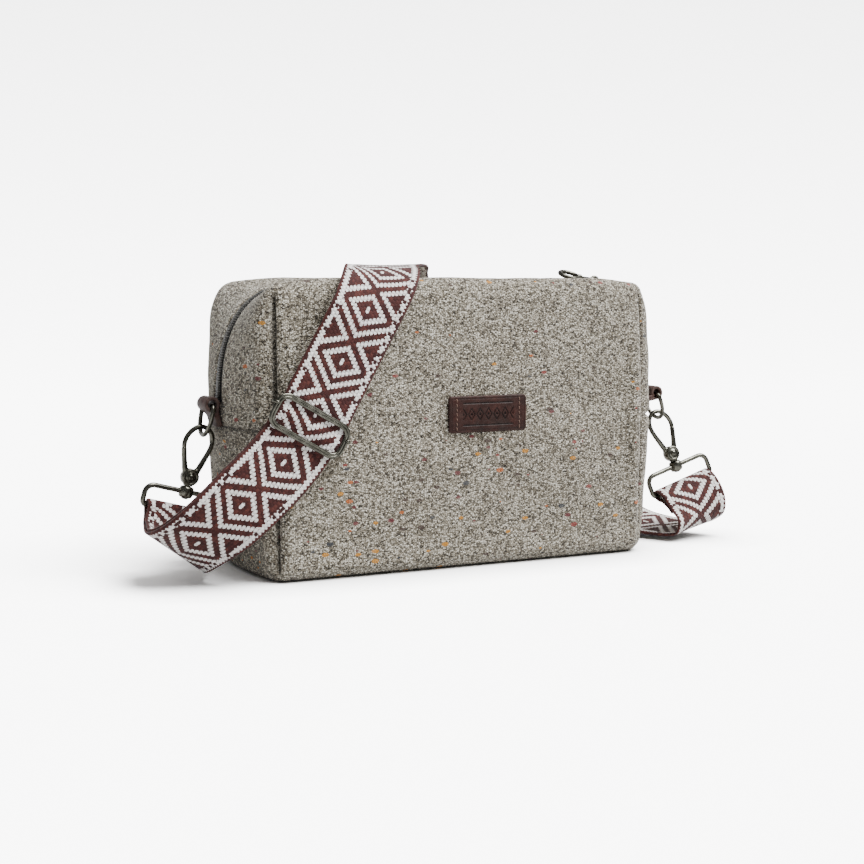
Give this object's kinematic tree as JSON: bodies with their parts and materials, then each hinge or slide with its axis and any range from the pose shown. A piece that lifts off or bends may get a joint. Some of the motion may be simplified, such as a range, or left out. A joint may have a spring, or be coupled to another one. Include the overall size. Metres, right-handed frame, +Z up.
{
  "type": "zip-top cross-body carry bag",
  "caption": "Small zip-top cross-body bag: a padded tweed box with a leather loop and D-ring at each end and a patterned webbing strap on swivel snap hooks, with a wire adjuster.",
  "frame": {"origin": "centre of the bag's flat bottom face", "axes": "+X along the zip, +Y towards the bag's rear panel, +Z up"},
  "size_m": [0.3672, 0.1089, 0.1668],
  "materials": {
    "tweed": "woven grey and cream tweed with coloured slubs",
    "foam": "closed-cell foam padding behind the outer fabric",
    "lining": "plain woven dark lining",
    "board": "stiffening board",
    "zipper_tape": "dark twill tape",
    "zipper_teeth": "dark moulded coil",
    "hardware": "antique gunmetal plating with worn bright edges",
    "leather": "dark reddish brown, worn to grey along the edges",
    "webbing": "maroon-brown and cream jacquard weave"
  },
  "bodies": {
    "bag": {"tweed_shell": "tweed", "foam_padding": "foam", "lining": "lining", "base_board": "board", "zipper_tape_front": "zipper_tape", "zipper_tape_rear": "zipper_tape", "zipper_teeth_front": "zipper_teeth", "zipper_teeth_rear": "zipper_teeth", "zipper_stop_left": "hardware", "zipper_stop_right": "hardware", "label_patch": "leather", "leather_loop_left": "leather", "leather_loop_right": "leather"},
    "slider": {"zipper_slider": "hardware"},
    "puller": {"zipper_pull": "hardware"},
    "ring_left": {"d_ring_left": "hardware"},
    "ring_right": {"d_ring_right": "hardware"},
    "strap": {"strap_webbing": "webbing"},
    "adjuster": {"adjuster_frame": "hardware", "adjuster_bar": "hardware", "strap_return_end": "webbing"},
    "bail_left": {"bail_left": "hardware"},
    "hook_left": {"hook_body_left": "hardware", "gate_rivet_left": "hardware", "gate_spring_left": "hardware", "swivel_post_left": "hardware"},
    "gate_left": {"hook_gate_left": "hardware"},
    "bail_right": {"bail_right": "hardware"},
    "hook_right": {"hook_body_right": "hardware", "gate_rivet_right": "hardware", "gate_spring_right": "hardware", "swivel_post_right": "hardware"},
    "gate_right": {"hook_gate_right": "hardware"}
  },
  "joints": [
    {"name": "slider_slide", "type": "slide", "parent": "bag", "child": "slider", "axis": [-1, 0, 0], "range_m": [0, 0.2]},
    {"name": "puller_hinge", "type": "hinge", "parent": "slider", "child": "puller", "pos_m": [0.108, 0, 0.158], "axis": [0, 1, 0], "range_deg": [0, 155]},
    {"name": "ring_left_hinge", "type": "hinge", "parent": "bag", "child": "ring_left", "pos_m": [-0.1345, 0, 0.0912], "axis": [0, 1, 0], "range_deg": [-2, 8]},
    {"name": "ring_right_hinge", "type": "hinge", "parent": "bag", "child": "ring_right", "pos_m": [0.149, 0, 0.0884], "axis": [0, -1, 0], "range_deg": [-2, 8]},
    {"name": "strap_lift", "type": "slide", "parent": "bag", "child": "strap", "axis": [0, 0, 1], "range_m": [0, 0.006]},
    {"name": "adjuster_slide", "type": "slide", "parent": "strap", "child": "adjuster", "axis": [0.4941, 0, 0.8694], "range_m": [0, 0.03]},
    {"name": "bail_left_hinge", "type": "hinge", "parent": "strap", "child": "bail_left", "pos_m": [-0.1504, 0, 0.035], "axis": [-0.9656, 0, 0.2599], "range_deg": [-3, 4.5]},
    {"name": "hook_left_swivel", "type": "hinge", "parent": "bail_left", "child": "hook_left", "pos_m": [-0.14754, 0, 0.04562], "axis": [0.2599, 0, 0.9656], "range_deg": [-18, 18]},
    {"name": "gate_left_hinge", "type": "hinge", "parent": "hook_left", "child": "gate_left", "pos_m": [-0.14546, 0, 0.05335], "axis": [0, 1, 0], "range_deg": [0, 17], "stiffness_Nm_per_rad": 0.002},
    {"name": "bail_right_hinge", "type": "hinge", "parent": "strap", "child": "bail_right", "pos_m": [0.1675, -0.009, 0.032], "axis": [0.9524, -0.0004, 0.305], "range_deg": [-3, 4.5]},
    {"name": "hook_right_swivel", "type": "hinge", "parent": "bail_right", "child": "hook_right", "pos_m": [0.16375, -0.00675, 0.04371], "axis": [-0.2999, 0.18, 0.9368], "range_deg": [-18, 18]},
    {"name": "gate_right_hinge", "type": "hinge", "parent": "hook_right", "child": "gate_right", "pos_m": [0.16135, -0.00531, 0.05121], "axis": [-0.0552, -0.9837, 0.1713], "range_deg": [0, 17], "stiffness_Nm_per_rad": 0.002}
  ]
}
